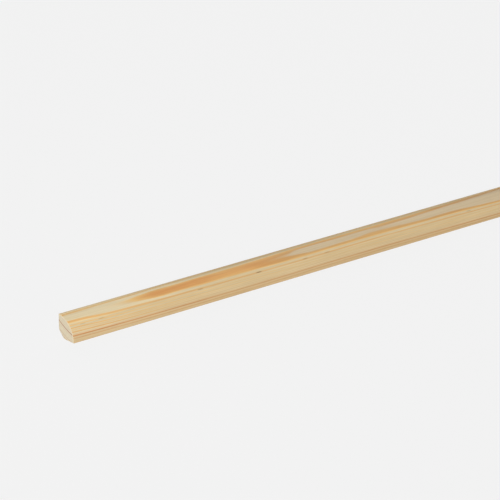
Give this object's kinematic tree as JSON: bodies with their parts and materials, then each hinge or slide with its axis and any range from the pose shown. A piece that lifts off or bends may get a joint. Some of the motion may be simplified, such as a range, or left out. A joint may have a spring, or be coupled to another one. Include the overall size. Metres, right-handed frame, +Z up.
{
  "type": "quarter round moulding",
  "caption": "Straight length of bare pine quarter round: flat base and back at right angles, a quarter-arc face between their edges and a rounded-off back corner, to trim an inside corner.",
  "frame": {"origin": "under the middle of the length, on the base and halfway across it", "axes": "+X along the length, +Y out of the flat back, +Z up, with the flat base on the floor"},
  "size_m": [2.4, 0.019, 0.019],
  "materials": {
    "pine": "matte"
  },
  "bodies": {
    "root": {"quarter_round_moulding": "pine"}
  },
  "joints": []
}
